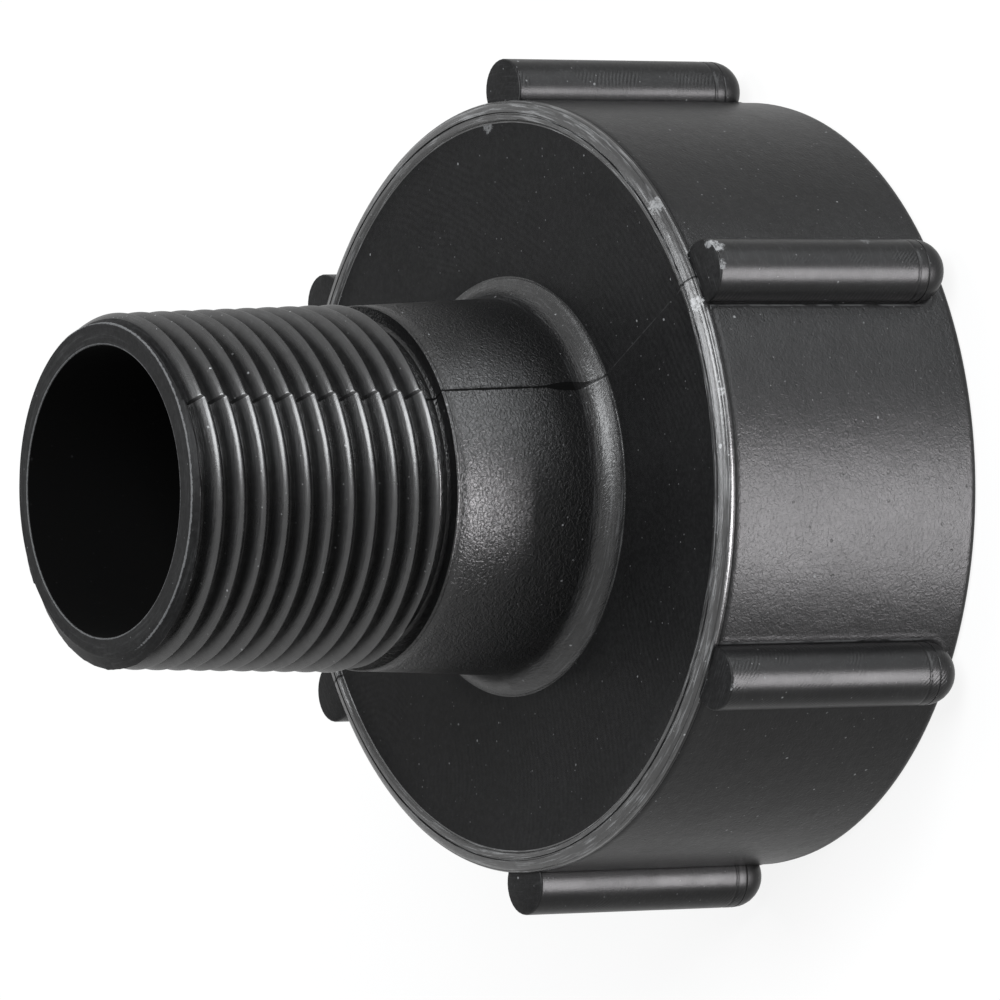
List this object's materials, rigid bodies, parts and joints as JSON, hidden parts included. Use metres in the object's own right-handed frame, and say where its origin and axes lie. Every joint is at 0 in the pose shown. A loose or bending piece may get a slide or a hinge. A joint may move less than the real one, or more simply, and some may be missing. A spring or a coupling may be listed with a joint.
{
  "type": "container tap adapter",
  "caption": "Moulded black adapter: a ribbed cup with a coarse inside thread for a bulk container's valve, and a tapered pipe thread spigot with a straight bore for the tap or hose side.",
  "frame": {"origin": "centre of the cup's open mouth, on the axis, in the plane it stands on", "axes": "+Z along the axis from the mouth to the end of the pipe thread; +X through the middle of one grip rib"},
  "size_m": [0.0804, 0.0724, 0.0727],
  "materials": {
    "moulded_plastic": "black injection-moulded polypropylene: fine leathery grain on the neck and skirt, turned tool marks on the front face",
    "gasket_rubber": "plain matt black rubber"
  },
  "bodies": {
    "root": {"adapter_body": "moulded_plastic", "sealing_gasket": "gasket_rubber"}
  },
  "joints": []
}
